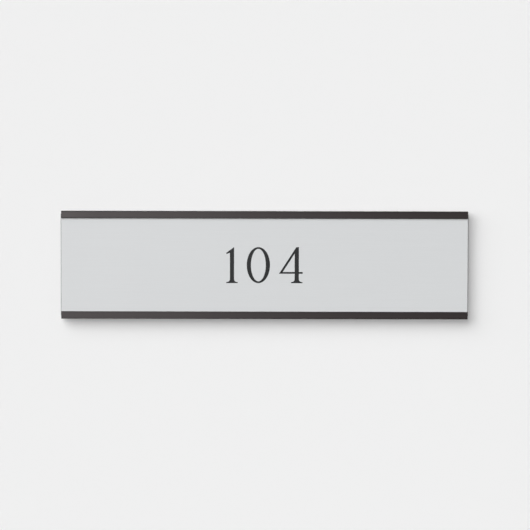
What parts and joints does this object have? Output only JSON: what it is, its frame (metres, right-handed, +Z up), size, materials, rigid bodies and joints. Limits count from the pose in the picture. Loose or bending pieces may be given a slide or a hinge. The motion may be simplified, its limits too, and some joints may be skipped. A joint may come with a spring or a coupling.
{
  "type": "door name plate",
  "caption": "Wall or door name plate: an engraved silver plate that slides into a black channel-shaped holder with open ends, put up with foam tape or screws.",
  "frame": {"origin": "middle of the holder's back face, halfway between its two screw holes", "axes": "+Z up, +X along the plate to the viewer's right, +Y from the front towards the wall"},
  "size_m": [0.2032, 0.0062, 0.0538],
  "materials": {
    "silver_cap": "satin silver cap of an engraving laminate",
    "black_core": "matte black core of the laminate",
    "black_anodised": "satin black anodised extrusion",
    "foam_tape": "white closed-cell foam with an adhesive skin"
  },
  "bodies": {
    "holder": {"holder": "black_anodised", "tape_upper": "foam_tape", "tape_lower": "foam_tape"},
    "name_plate": {"name_plate_core": "black_core", "name_plate_face": "silver_cap"}
  },
  "joints": [
    {"name": "name_plate_slide", "type": "slide", "parent": "holder", "child": "name_plate", "axis": [1, 0, 0], "range_m": [-0.193, 0.193]}
  ]
}
